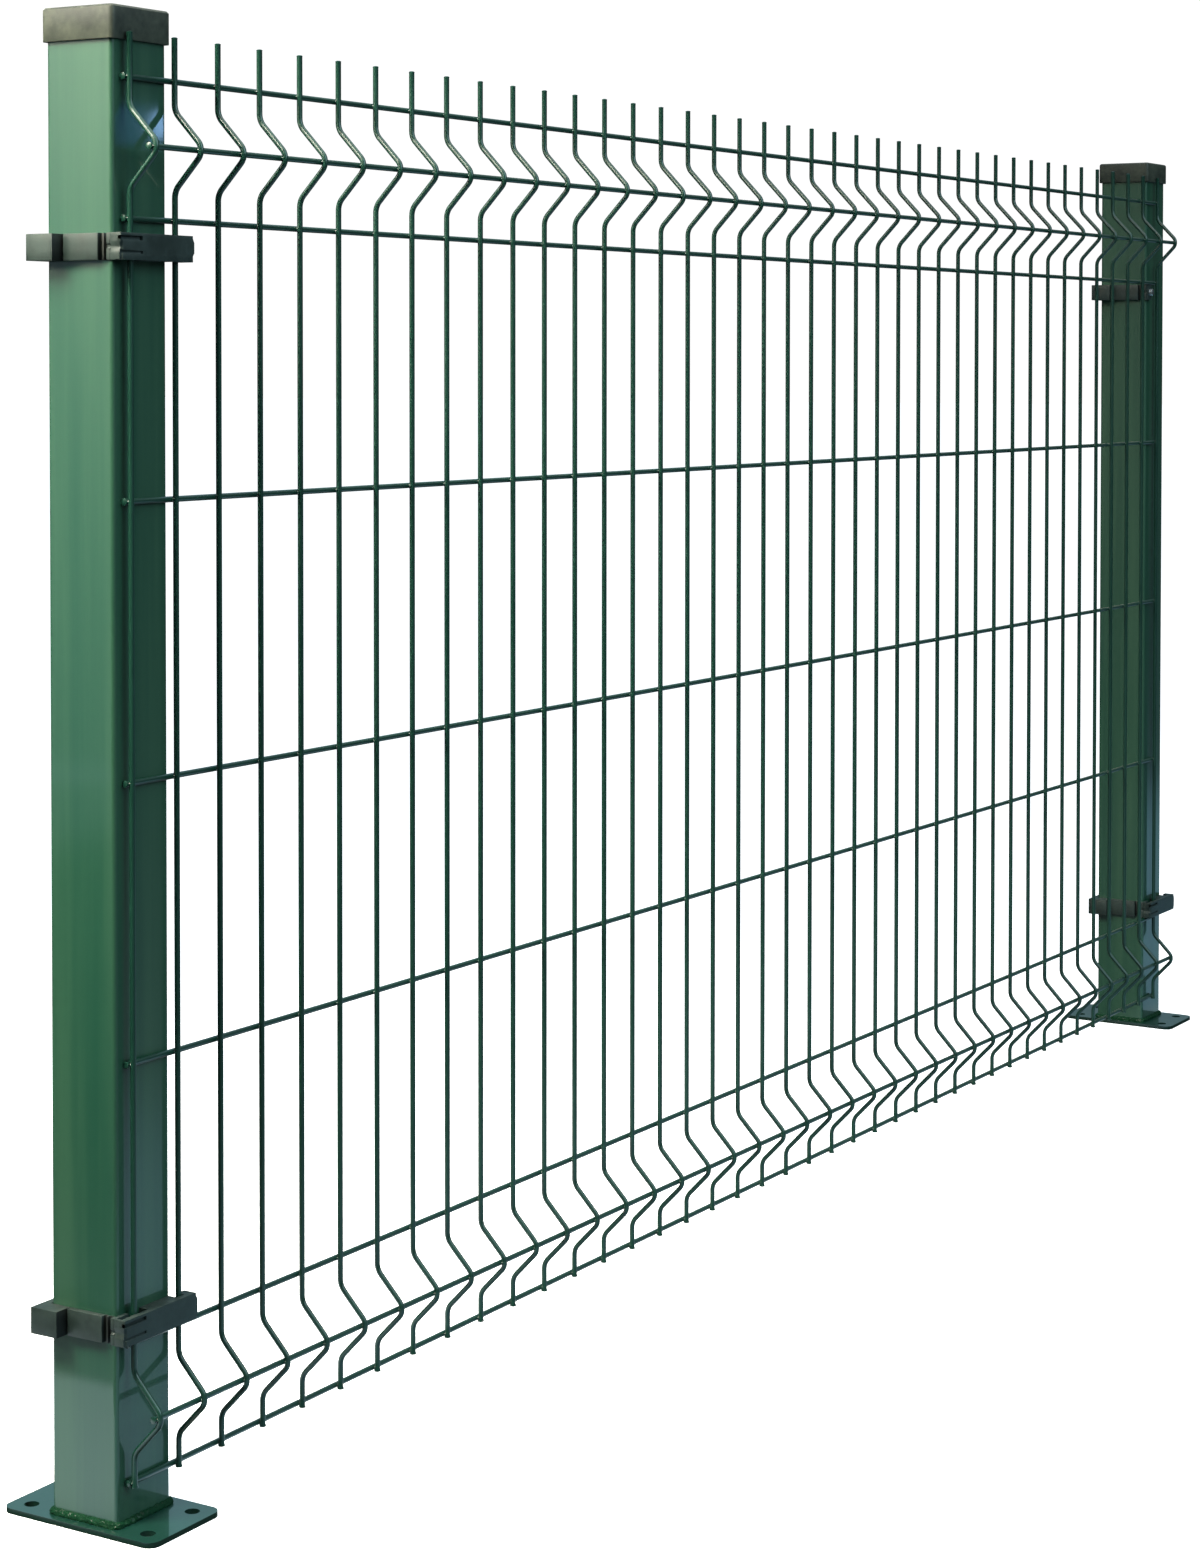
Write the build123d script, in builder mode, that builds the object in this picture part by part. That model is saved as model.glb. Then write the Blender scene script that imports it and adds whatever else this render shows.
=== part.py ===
from build123d import *
import math
import os

os.makedirs("parts", exist_ok=True)

# Welded mesh, the upright wires in front of the level ones
WIRE_PITCH = 50.0
WIRE_SPACES = 40
WIRE_SIDES = 4
WIRE_FLAT = 3.6  # across the flats, so that a bar holds as much steel as the round wire
WIRE_D = 4.0
PANEL_GAP = 0.3  # between the level wires and the posts
LEVEL_OVERHANG = 4.5
SPIKE = 31.5
TAIL = 3.5
PANEL_Z = 34.0  # the lowest level wire
MESH_LONG = 200.0
MESH_SHORT = 50.0
FOLD_HALF = 28.5
FOLD_DEPTH = 26.5
FOLD_CUT = 4.0

MESH_WIDTH = WIRE_SPACES * WIRE_PITCH
ROW_SPACES = [MESH_SHORT] * 2 + [MESH_LONG] * 4 + [MESH_SHORT] * 2
ROWS = [PANEL_Z + sum(ROW_SPACES[:i]) for i in range(len(ROW_SPACES) + 1)]
FOLD_ROWS = (1, len(ROWS) - 2)  # these level wires lie in the apex of a fold

# Bay: how far the first and the last upright wire stand to the left of their post's centre
FIRST_WIRE = 17.5
LAST_WIRE = 8.0
POST_SPAN = MESH_WIDTH - FIRST_WIRE + LAST_WIRE

# Foot plates
PLATE_X = 80.0
PLATE_Y = 140.0
PLATE_T = 4.0
PLATE_R = 9.0
HOLE_X = 50.0
HOLE_Y = 108.0
HOLE_D = 11.0

# Posts: square tube
POST = 60.0
POST_WALL = 2.0
POST_R = 3.0
POST_OVER = 15.5  # from the tip of the spikes to the post's top

# Bead of weld round each post foot
WELD_LEG = 4.5
WELD_H = 4.0
WELD_SLOPE = 40.0

# Caps pushed over the post tops
CAP_GAP = 0.25
CAP_WALL = 2.5
CAP_TOP = 3.0
CAP_SKIRT = 21.0
CAP_CHAMFER = 1.6
CAP_R = 4.0

POST_FRONT = -POST / 2
POST_TOP = ROWS[-1] + SPIKE + POST_OVER
LEVEL_Y = POST_FRONT - PANEL_GAP - WIRE_D / 2
UPRIGHT_Y = LEVEL_Y - WIRE_FLAT
MESH_FRONT = UPRIGHT_Y - WIRE_D / 2

# Clamps: a yoke round the back of the post, bolted through its tab, and a bar in front of the mesh
CLAMP_H = 19.0
LOWER_GAP = 1.3  # from the level wire under the lower clamps
UPPER_GAP = 8.5  # from the level wire over the left post's upper clamp
RIGHT_UPPER_GAP = 0.6  # the right post's upper clamp sits higher
FIT = 0.3  # between the clamp's pieces and what they go round
YOKE_ARM = 5.0
YOKE_BACK = 6.2
YOKE_EAR = 9.7
YOKE_EAR_LENGTH = 24.0
YOKE_SHORT = 9.0  # the full arms end this far behind the post's front face
YOKE_TAB = 3.0
YOKE_TAB_X = 10.0
BOLT_X = -24.5
BOLT_D = 5.0
BOLT_HOLE = 5.5
BOLT_HEAD = 8.0
BOLT_HEAD_T = 3.5
BOLT_REACH = 12.0  # past the post's front face
BAR_LEFT = -36.0
BAR_RIGHT = 46.0
BAR_T = 4.6
BAR_LIP_BACK = 3.0  # the left lip ends this far in front of the post face
BAR_END = 9.5
BAR_END_BACK = 1.5
BAR_PAD = (-5.0, 28.0)
BAR_NOSE = 4.0
BAR_EDGE = 1.0
SLOT_END = -12.0
SLOT_DEPTH = 2.6
SLOT_H = 3.0
SLOT_UP = 14.0
GROOVE_H = 2.0
GROOVE_UP = 4.5
GROOVE_DEPTH = 1.4
OVERCUT = 1.0

CLAMP_LOW = ROWS[2] + WIRE_D / 2 + LOWER_GAP
CLAMP_HIGH = {
    side: ROWS[-3] - WIRE_D / 2 - gap - CLAMP_H
    for side, gap in (("left", UPPER_GAP), ("right", RIGHT_UPPER_GAP))
}
TAB_FRONT = POST_FRONT - FIT - YOKE_TAB
BAR_BACK = MESH_FRONT - FIT
BAR_FRONT = BAR_BACK - BAR_T


def flat(x, z=0.0):
    """A level plane over the post that stands at x, at height z."""
    return Plane((x, 0, z))


def facing(x, y, z):
    """An upright plane at y that looks to the front."""
    return Plane((x, y, z), x_dir=(1, 0, 0), z_dir=(0, -1, 0))


def make_foot_plate(side, x):
    with BuildPart() as foot_plate:
        with BuildSketch(flat(x)):
            RectangleRounded(PLATE_X, PLATE_Y, PLATE_R)
            with GridLocations(HOLE_X, HOLE_Y, 2, 2):
                Circle(HOLE_D / 2, mode=Mode.SUBTRACT)
        extrude(amount=PLATE_T)
    foot_plate.part.label = f"{side}_foot_plate"
    export_step(foot_plate.part, f"parts/{side}_foot_plate.step")


def make_foot_weld(side, x):
    with BuildPart() as foot_weld:
        with BuildSketch(flat(x, PLATE_T)):
            Rectangle(POST + 2 * WELD_LEG, POST + 2 * WELD_LEG)
        extrude(amount=WELD_H, taper=WELD_SLOPE)
        with BuildSketch(flat(x, PLATE_T)):
            Rectangle(POST, POST)
        extrude(amount=WELD_H, mode=Mode.SUBTRACT)
    foot_weld.part.label = f"{side}_foot_weld"
    export_step(foot_weld.part, f"parts/{side}_foot_weld.step")


def make_post(side, x):
    inner = POST - 2 * POST_WALL
    with BuildPart() as post:
        with BuildSketch(flat(x, PLATE_T)):
            RectangleRounded(POST, POST, POST_R)
            Rectangle(inner, inner, mode=Mode.SUBTRACT)
        extrude(amount=POST_TOP - PLATE_T)
        for z in (CLAMP_LOW, CLAMP_HIGH[side]):
            with BuildSketch(facing(x + BOLT_X, POST_FRONT + POST_WALL + OVERCUT, z + CLAMP_H / 2)):
                Circle(BOLT_HOLE / 2)
            extrude(amount=POST_WALL + 2 * OVERCUT, mode=Mode.SUBTRACT)
    post.part.label = f"{side}_post"
    export_step(post.part, f"parts/{side}_post.step")


def make_post_cap(side, x):
    outer = POST + 2 * (CAP_GAP + CAP_WALL)
    inner = POST + 2 * CAP_GAP
    with BuildPart() as post_cap:
        with BuildSketch(flat(x, POST_TOP - CAP_SKIRT)):
            RectangleRounded(outer, outer, CAP_R)
        extrude(amount=CAP_SKIRT + CAP_TOP)
        chamfer(post_cap.edges().group_by(Axis.Z)[-1], CAP_CHAMFER)
        with BuildSketch(flat(x, POST_TOP - CAP_SKIRT)):
            Rectangle(inner, inner)
        extrude(amount=CAP_SKIRT, mode=Mode.SUBTRACT)
    post_cap.part.label = f"{side}_post_cap"
    export_step(post_cap.part, f"parts/{side}_post_cap.step")


def upright_path():
    """One upright wire's line from tail to spike, its folds cut at their corners, and the apex's depth."""
    slant = math.hypot(FOLD_HALF, FOLD_DEPTH)
    dy = FOLD_CUT * FOLD_DEPTH / slant
    dz = FOLD_CUT * FOLD_HALF / slant
    points = [(0, ROWS[0] - TAIL)]
    for row in FOLD_ROWS:
        z = ROWS[row]
        points += [(0, z - FOLD_HALF - FOLD_CUT), (-dy, z - FOLD_HALF + dz)]
        points += [(dy - FOLD_DEPTH, z - dz), (dy - FOLD_DEPTH, z + dz)]
        points += [(-dy, z + FOLD_HALF - dz), (0, z + FOLD_HALF + FOLD_CUT)]
    points.append((0, ROWS[-1] + SPIKE))
    return points, FOLD_DEPTH - dy


def make_mesh_panel():
    points, apex = upright_path()
    with BuildPart() as upright:
        with BuildLine(Plane((0, UPRIGHT_Y, 0), x_dir=(0, 1, 0), z_dir=(1, 0, 0))) as line:
            Polyline(*points)
        with BuildSketch(Plane((0, UPRIGHT_Y, points[0][1]))):
            RegularPolygon(WIRE_FLAT / 2, WIRE_SIDES, major_radius=False, rotation=45)
        sweep(path=line.line, transition=Transition.RIGHT)
    with BuildPart() as mesh_panel:
        with Locations(*[(i * WIRE_PITCH - FIRST_WIRE, 0, 0) for i in range(WIRE_SPACES + 1)]):
            add(upright.part)
        for i, z in enumerate(ROWS):
            y = LEVEL_Y - (apex if i in FOLD_ROWS else 0.0)
            start = -FIRST_WIRE - LEVEL_OVERHANG
            with BuildSketch(Plane((start, y, z), x_dir=(0, 1, 0), z_dir=(1, 0, 0))):
                RegularPolygon(WIRE_FLAT / 2, WIRE_SIDES, major_radius=False, rotation=45)
            extrude(amount=MESH_WIDTH + 2 * LEVEL_OVERHANG)
    mesh_panel.part.label = "mesh_panel"
    export_step(mesh_panel.part, "parts/mesh_panel.step")


def make_clamp_yoke(name, x, z):
    inner = POST / 2 + FIT
    outer = inner + YOKE_ARM
    back = inner + YOKE_BACK
    ear = outer + YOKE_EAR
    ear_front = back - YOKE_EAR_LENGTH
    arm_front = POST_FRONT + YOKE_SHORT
    tongue = inner + YOKE_TAB
    outline = [(inner, arm_front), (inner, inner), (-inner, inner), (-inner, POST_FRONT - FIT)]
    outline += [(YOKE_TAB_X - inner, POST_FRONT - FIT), (YOKE_TAB_X - inner, TAB_FRONT)]
    outline += [(-tongue, TAB_FRONT), (-tongue, arm_front), (-outer, arm_front)]
    outline += [(-outer, ear_front), (-ear, ear_front), (-ear, back), (ear, back)]
    outline += [(ear, ear_front), (outer, ear_front), (outer, arm_front)]
    with BuildPart() as clamp_yoke:
        with BuildSketch(flat(x, z)):
            Polygon(*outline, align=None)
        extrude(amount=CLAMP_H)
        with BuildSketch(facing(x + BOLT_X, POST_FRONT + OVERCUT, z + CLAMP_H / 2)):
            Circle(BOLT_HOLE / 2)
        extrude(amount=YOKE_TAB + FIT + 2 * OVERCUT, mode=Mode.SUBTRACT)
    clamp_yoke.part.label = name
    export_step(clamp_yoke.part, f"parts/{name}.step")


def make_clamp_bolt(name, x, z):
    tip = POST_FRONT + BOLT_REACH
    with BuildPart() as clamp_bolt:
        with BuildSketch(facing(x + BOLT_X, TAB_FRONT, z + CLAMP_H / 2)):
            RegularPolygon(BOLT_HEAD / 2, 6, major_radius=False, rotation=30)
        extrude(amount=BOLT_HEAD_T)
        with BuildSketch(facing(x + BOLT_X, tip, z + CLAMP_H / 2)):
            Circle(BOLT_D / 2)
        extrude(amount=tip - TAB_FRONT)
    clamp_bolt.part.label = name
    export_step(clamp_bolt.part, f"parts/{name}.step")


def make_clamp_bar(name, x, z):
    lip = -POST / 2 - FIT - YOKE_TAB - FIT
    outline = [(BAR_LEFT, POST_FRONT - BAR_LIP_BACK), (BAR_LEFT, BAR_FRONT)]
    outline += [(BAR_RIGHT - BAR_NOSE, BAR_FRONT), (BAR_RIGHT, BAR_FRONT + BAR_NOSE)]
    outline += [(BAR_RIGHT, POST_FRONT - BAR_END_BACK), (BAR_RIGHT - BAR_END, POST_FRONT - BAR_END_BACK)]
    outline += [(BAR_RIGHT - BAR_END, BAR_BACK), (BAR_PAD[1], BAR_BACK), (BAR_PAD[1], POST_FRONT)]
    outline += [(BAR_PAD[0], POST_FRONT), (BAR_PAD[0], BAR_BACK), (lip, BAR_BACK)]
    outline += [(lip, POST_FRONT - BAR_LIP_BACK)]
    length = BAR_RIGHT - BAR_LEFT
    with BuildPart() as clamp_bar:
        with BuildSketch(flat(x, z)):
            Polygon(*outline, align=None)
        extrude(amount=CLAMP_H)
        front = clamp_bar.edges().filter_by(Axis.X).group_by(Axis.Y)[0]
        chamfer(front, BAR_EDGE)
        for up, height, depth in ((SLOT_UP, SLOT_H, SLOT_DEPTH), (GROOVE_UP, GROOVE_H, GROOVE_DEPTH)):
            with BuildSketch(facing(x, BAR_FRONT + depth, z + up)):
                with Locations((SLOT_END - length / 2, height / 2)):
                    Rectangle(length, height)
            extrude(amount=depth + OVERCUT, mode=Mode.SUBTRACT)
    clamp_bar.part.label = name
    export_step(clamp_bar.part, f"parts/{name}.step")


for side, x in (("left", 0.0), ("right", POST_SPAN)):
    make_foot_plate(side, x)
    make_foot_weld(side, x)
    make_post(side, x)
    make_post_cap(side, x)
    for place, z in (("lower", CLAMP_LOW), ("upper", CLAMP_HIGH[side])):
        make_clamp_yoke(f"{side}_{place}_clamp_yoke", x, z)
        make_clamp_bolt(f"{side}_{place}_clamp_bolt", x, z)
        # the right post's upper clamp has lost its bar
        if (side, place) != ("right", "upper"):
            make_clamp_bar(f"{side}_{place}_clamp_bar", x, z)

make_mesh_panel()
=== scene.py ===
import logging
import math
import random
from dataclasses import dataclass
from enum import Enum
from typing import ClassVar

import bmesh
import bpy
from mathutils import Matrix, Vector


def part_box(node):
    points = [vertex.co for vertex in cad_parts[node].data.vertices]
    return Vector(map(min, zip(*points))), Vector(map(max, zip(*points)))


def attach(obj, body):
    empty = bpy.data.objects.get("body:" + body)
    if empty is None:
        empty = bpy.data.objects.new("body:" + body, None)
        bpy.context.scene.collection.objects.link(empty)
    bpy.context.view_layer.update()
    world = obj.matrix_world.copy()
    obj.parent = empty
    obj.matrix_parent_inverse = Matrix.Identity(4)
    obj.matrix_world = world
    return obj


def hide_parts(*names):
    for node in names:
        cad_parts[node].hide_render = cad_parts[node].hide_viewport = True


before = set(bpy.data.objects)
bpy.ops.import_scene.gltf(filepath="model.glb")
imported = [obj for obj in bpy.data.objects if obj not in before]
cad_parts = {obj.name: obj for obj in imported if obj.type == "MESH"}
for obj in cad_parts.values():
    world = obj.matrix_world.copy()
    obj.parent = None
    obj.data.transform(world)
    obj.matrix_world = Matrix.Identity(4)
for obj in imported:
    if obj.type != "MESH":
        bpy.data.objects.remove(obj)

logging.basicConfig(level=logging.INFO, format="%(name)s: %(message)s")
log = logging.getLogger("fence")

MM = 0.001
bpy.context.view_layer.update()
Colour = tuple[float, float, float]
Span = tuple[float, float]
Output = bpy.types.NodeSocket
OPEN: Span = (-math.inf, math.inf)
TOWARDS_FRONT = Vector((0, -1, 0))
TOWARDS_BACK = Vector((0, 1, 0))


def mm(*places: float) -> tuple[float, ...]:
    """Turns millimetres into metres."""
    return tuple(place * MM for place in places)


def near(place: float, reach: float = 0.1 * MM) -> Span:
    """Spans a little to both sides of a place."""
    return place - reach, place + reach


class Side(Enum):
    """The two posts of the bay."""

    LEFT = "left"
    RIGHT = "right"


class Place(Enum):
    """The two clamps of a post."""

    LOWER = "lower"
    UPPER = "upper"


class Slot(Enum):
    """The record's material slots, named for the new pieces; the script assigns none."""

    WELD = "coated_weld"
    WIRE = "coated_wire"
    CAP = "plastic_cap"
    CLAMP = "plastic_clamp"
    BOLT = "zinc"


@dataclass(frozen=True)
class Zone:
    """A box of space, open on the sides that aren't given."""

    x: Span = OPEN
    y: Span = OPEN
    z: Span = OPEN

    def holds(self, point: Vector) -> bool:
        """Tells whether a point lies inside the box."""
        spans = (self.x, self.y, self.z)
        return all(low < value < high for value, (low, high) in zip(point, spans))


class Bench:
    """The edit-mode steps that the pieces are made with.

    Attributes:
        SQUARE: How squarely a face has to face a way, where 1 is fully.
        DOUBLED: Corners of a CAD node that are nearer than this become one.
        FLAT: Its faces that turn by fewer degrees become one.
        SHARP: Edges that turn by more degrees are rounded.
        CREASE: Edges of a rounded piece that turn by more degrees stay hard.
        ROUND: The same for a piece that is round all over.
    """

    SQUARE = 0.9
    DOUBLED = 0.002 * MM
    FLAT = 0.5
    SHARP = 32
    CREASE = 50
    ROUND = 80

    @staticmethod
    def clear() -> None:
        """Leaves edit mode and deselects everything."""
        if bpy.context.object and bpy.context.object.mode != "OBJECT":
            bpy.ops.object.mode_set(mode="OBJECT")
        bpy.ops.object.select_all(action="DESELECT")

    @staticmethod
    def only(piece: bpy.types.Object) -> None:
        """Makes one piece active and selected.

        Args:
            piece: The object to work on.
        """
        Bench.clear()
        bpy.context.view_layer.objects.active = piece
        piece.select_set(True)

    @staticmethod
    def started(name: str) -> bpy.types.Object:
        """Names the primitive just added and settles it at the origin.

        Args:
            name: The piece's name.

        Returns:
            The new object.
        """
        piece = bpy.context.active_object
        piece.name = name
        piece.data.name = name
        bpy.ops.object.transform_apply(location=True, rotation=True, scale=True)
        return piece

    @staticmethod
    def block(name: str, low: Vector, high: Vector) -> bpy.types.Object:
        """Adds a cube that fills a box.

        Args:
            name: The piece's name.
            low: The box's lowest corner.
            high: The box's highest corner.

        Returns:
            The new object.
        """
        Bench.clear()
        bpy.ops.mesh.primitive_cube_add(size=1, location=(low + high) / 2, scale=high - low)
        return Bench.started(name)

    @staticmethod
    def drum(
        name: str, centre: Vector, radius: float, depth: float, sides: int
    ) -> bpy.types.Object:
        """Adds a prism or cylinder that lies along Y.

        Args:
            name: The piece's name.
            centre: Its middle.
            radius: Its radius.
            depth: Its length along Y.
            sides: How many sides it has.

        Returns:
            The new object.
        """
        Bench.clear()
        bpy.ops.mesh.primitive_cylinder_add(
            vertices=sides, radius=radius, depth=depth, location=centre,
            rotation=(math.radians(90), 0, 0),
        )
        return Bench.started(name)

    @staticmethod
    def edit(piece: bpy.types.Object, zone: Zone, facing: Vector) -> int:
        """Opens a piece in edit mode with the faces of a zone that face one way selected.

        Args:
            piece: The object to edit.
            zone: Where the faces' middles lie.
            facing: The way that they face.

        Returns:
            How many faces are selected.
        """
        Bench.only(piece)
        bpy.ops.object.mode_set(mode="EDIT")
        bpy.ops.mesh.select_mode(type="FACE")
        bpy.ops.mesh.select_all(action="DESELECT")
        shape = bmesh.from_edit_mesh(piece.data)
        count = 0
        for face in shape.faces:
            if face.normal.dot(facing) > Bench.SQUARE and zone.holds(face.calc_center_median()):
                face.select_set(True)
                count += 1
        bmesh.update_edit_mesh(piece.data)
        return count

    @staticmethod
    def cut(piece: bpy.types.Object, axis: int, places: list[float]) -> None:
        """Cuts rings of edges round a piece, square to one axis.

        Args:
            piece: The object to cut.
            axis: 0, 1 or 2 for X, Y or Z.
            places: Where the cuts lie on that axis.
        """
        Bench.only(piece)
        bpy.ops.object.mode_set(mode="EDIT")
        for place in places:
            point, normal = Vector(), Vector()
            point[axis], normal[axis] = place, 1.0
            bpy.ops.mesh.select_all(action="SELECT")
            bpy.ops.mesh.bisect(plane_co=point, plane_no=normal)
        bpy.ops.object.mode_set(mode="OBJECT")

    @staticmethod
    def push(piece: bpy.types.Object, zone: Zone, facing: Vector, move: Vector) -> None:
        """Extrudes the faces of a zone that face one way.

        Args:
            piece: The object to edit.
            zone: Where the faces' middles lie.
            facing: The way that they face.
            move: How far they go.
        """
        if Bench.edit(piece, zone, facing):
            bpy.ops.mesh.extrude_region_move(TRANSFORM_OT_translate={"value": move})
        bpy.ops.object.mode_set(mode="OBJECT")

    @staticmethod
    def shift(piece: bpy.types.Object, zone: Zone, move: Vector) -> None:
        """Moves the corners that lie in a zone.

        Args:
            piece: The object to edit.
            zone: Where the corners lie.
            move: How far they go.
        """
        Bench.only(piece)
        bpy.ops.object.mode_set(mode="EDIT")
        bpy.ops.mesh.select_mode(type="VERT")
        bpy.ops.mesh.select_all(action="DESELECT")
        shape = bmesh.from_edit_mesh(piece.data)
        for corner in shape.verts:
            if zone.holds(corner.co):
                corner.select_set(True)
        bmesh.update_edit_mesh(piece.data)
        bpy.ops.transform.translate(value=move)
        bpy.ops.object.mode_set(mode="OBJECT")

    @staticmethod
    def modify(piece: bpy.types.Object, kind: str, **values: object) -> None:
        """Adds one modifier and applies it.

        Args:
            piece: The object to change.
            kind: The modifier's type.
            values: The modifier's settings.
        """
        Bench.only(piece)
        modifier = piece.modifiers.new(kind.lower(), kind)
        for key, value in values.items():
            setattr(modifier, key, value)
        bpy.ops.object.modifier_apply(modifier=modifier.name)

    @staticmethod
    def repeat(piece: bpy.types.Object, count: int, pitch: float) -> None:
        """Repeats a piece's mesh along X.

        Args:
            piece: The object to repeat.
            count: How many there are in the end.
            pitch: How far they stand apart.
        """
        Bench.modify(
            piece, "ARRAY", count=count, use_relative_offset=False,
            use_constant_offset=True, constant_offset_displace=(pitch, 0, 0),
        )

    @staticmethod
    def outward(piece: bpy.types.Object, merge: float = 0.0) -> None:
        """Turns all faces outwards, after merging doubled corners.

        Args:
            piece: The object to tidy.
            merge: Corners nearer than this become one.
        """
        Bench.only(piece)
        bpy.ops.object.mode_set(mode="EDIT")
        bpy.ops.mesh.select_all(action="SELECT")
        if merge:
            bpy.ops.mesh.remove_doubles(threshold=merge)
        bpy.ops.mesh.normals_make_consistent(inside=False)
        bpy.ops.object.mode_set(mode="OBJECT")

    @staticmethod
    def soften(piece: bpy.types.Object, width: float) -> None:
        """Rounds a piece's sharp edges and shades it smooth between them.

        Args:
            piece: The object to finish.
            width: How wide the rounding is.
        """
        Bench.modify(
            piece, "BEVEL", width=width, segments=2, limit_method="ANGLE",
            angle_limit=math.radians(Bench.SHARP), use_clamp_overlap=True,
        )
        Bench.smooth(piece, Bench.CREASE)

    @staticmethod
    def smooth(piece: bpy.types.Object, degrees: float) -> None:
        """Shades a piece smooth, apart from edges that turn by more than some degrees."""
        Bench.only(piece)
        bpy.ops.object.shade_smooth_by_angle(angle=math.radians(degrees))

    @staticmethod
    def traced(node: str, name: str) -> bpy.types.Object:
        """Copies a CAD node as one closed skin, ready to be worked on.

        Args:
            node: The CAD node.
            name: The new piece's name.

        Returns:
            The new object.
        """
        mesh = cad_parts[node].data.copy()
        mesh.name = name
        mesh.materials.clear()
        piece = bpy.data.objects.new(name, mesh)
        bpy.context.scene.collection.objects.link(piece)
        Bench.only(piece)
        bpy.ops.object.mode_set(mode="EDIT")
        bpy.ops.mesh.select_all(action="SELECT")
        bpy.ops.mesh.remove_doubles(threshold=Bench.DOUBLED)
        bpy.ops.mesh.dissolve_limited(angle_limit=math.radians(Bench.FLAT))
        bpy.ops.object.mode_set(mode="OBJECT")
        return piece

    @staticmethod
    def copied(piece: bpy.types.Object, move: Vector) -> bpy.types.Object:
        """Copies a piece with its mesh and moves the copy's mesh.

        Args:
            piece: The object to copy.
            move: How far the copy goes.

        Returns:
            The copy.
        """
        Bench.only(piece)
        bpy.ops.object.duplicate(linked=False)
        twin = bpy.context.active_object
        bpy.ops.transform.translate(value=move)
        bpy.ops.object.transform_apply(location=True, rotation=False, scale=False)
        return twin

    @staticmethod
    def joined(parts: list[bpy.types.Object], name: str) -> bpy.types.Object:
        """Joins objects into one piece.

        Args:
            parts: The objects to join.
            name: The piece's name.

        Returns:
            The joined object.
        """
        Bench.only(parts[0])
        for part in parts[1:]:
            part.select_set(True)
        bpy.ops.object.join()
        piece = bpy.context.active_object
        piece.name = name
        piece.data.name = name
        return piece


@dataclass
class Bar:
    """A round bar that is bent in the YZ plane as it is drawn upwards.

    Attributes:
        centre: The middle of its end ring.
        radius: Its radius.
        sides: How many sides it has.
        heading: How far its end leans to the front, in radians.
        TIP: How wide its cut ends are, for a bar of 1.
        FIRST_BEAD: How wide the bead of coat at its first end is.
        LAST_BEAD: The same at its last end.
        FIRST_RUNS: The lengths of the three steps that its first end takes.
        LAST_RUNS: The lengths of the two steps that its last end takes.
        CREASE: Edges that turn by more degrees stay hard.
    """

    centre: Vector
    radius: float
    sides: int = 12
    heading: float = 0.0
    TIP: ClassVar[float] = 0.6
    FIRST_BEAD: ClassVar[float] = 1.22
    LAST_BEAD: ClassVar[float] = 1.08
    FIRST_RUNS: ClassVar[tuple[float, ...]] = mm(0.5, 1.0, 1.1)
    LAST_RUNS: ClassVar[tuple[float, ...]] = mm(0.9, 0.5)
    CREASE: ClassVar[float] = 60

    def begin(self, name: str) -> None:
        """Lays the first ring, with its rounded cut end.

        Args:
            name: The bar's name.
        """
        Bench.clear()
        bpy.ops.mesh.primitive_circle_add(
            vertices=self.sides, radius=self.radius * self.TIP, fill_type="NGON",
            location=self.centre,
        )
        Bench.started(name)
        bpy.ops.object.mode_set(mode="EDIT")
        bpy.ops.mesh.select_mode(type="FACE")
        bpy.ops.mesh.select_all(action="SELECT")
        rise, bead, neck = self.FIRST_RUNS
        self.swell(rise, self.FIRST_BEAD / self.TIP)
        self.draw(bead)
        self.swell(neck, 1 / self.FIRST_BEAD)

    def swell(self, length: float, factor: float) -> None:
        """Draws the bar on and scales its new end by a factor."""
        self.draw(length)
        bpy.ops.transform.resize(value=(factor, factor, factor), center_override=self.centre)

    def draw(self, length: float) -> None:
        """Draws the bar straight on.

        Args:
            length: How far it is drawn.
        """
        move = Vector((0, -math.sin(self.heading), math.cos(self.heading))) * length
        bpy.ops.mesh.extrude_region_move(TRANSFORM_OT_translate={"value": move})
        self.centre = self.centre + move

    def draw_in(self, steps: int, length: float) -> None:
        """Draws the bar straight on, by a length in equal steps."""
        for _ in range(steps):
            self.draw(length / steps)

    def bend(self, turn: float, radius: float, steps: int) -> None:
        """Bends the bar's end, towards the front if the turn is above zero.

        Args:
            turn: The angle in radians.
            radius: The bend's radius.
            steps: How many rings the bend has.
        """
        side = math.copysign(1.0, turn)
        inwards = Vector((0, -math.cos(self.heading), -math.sin(self.heading))) * side
        pivot = self.centre + inwards * radius
        bpy.ops.mesh.spin(steps=steps, angle=-turn, center=pivot, axis=(1, 0, 0))
        self.centre = pivot + Matrix.Rotation(turn, 3, "X") @ (self.centre - pivot)
        self.heading += turn

    def end(self) -> bpy.types.Object:
        """Closes the bar with a rounded end.

        Returns:
            The finished bar.
        """
        bead, rise = self.LAST_RUNS
        self.swell(bead, self.LAST_BEAD)
        self.swell(rise, self.TIP / self.LAST_BEAD)
        bpy.ops.object.mode_set(mode="OBJECT")
        piece = bpy.context.active_object
        Bench.outward(piece)
        Bench.smooth(piece, self.CREASE)
        return piece


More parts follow.
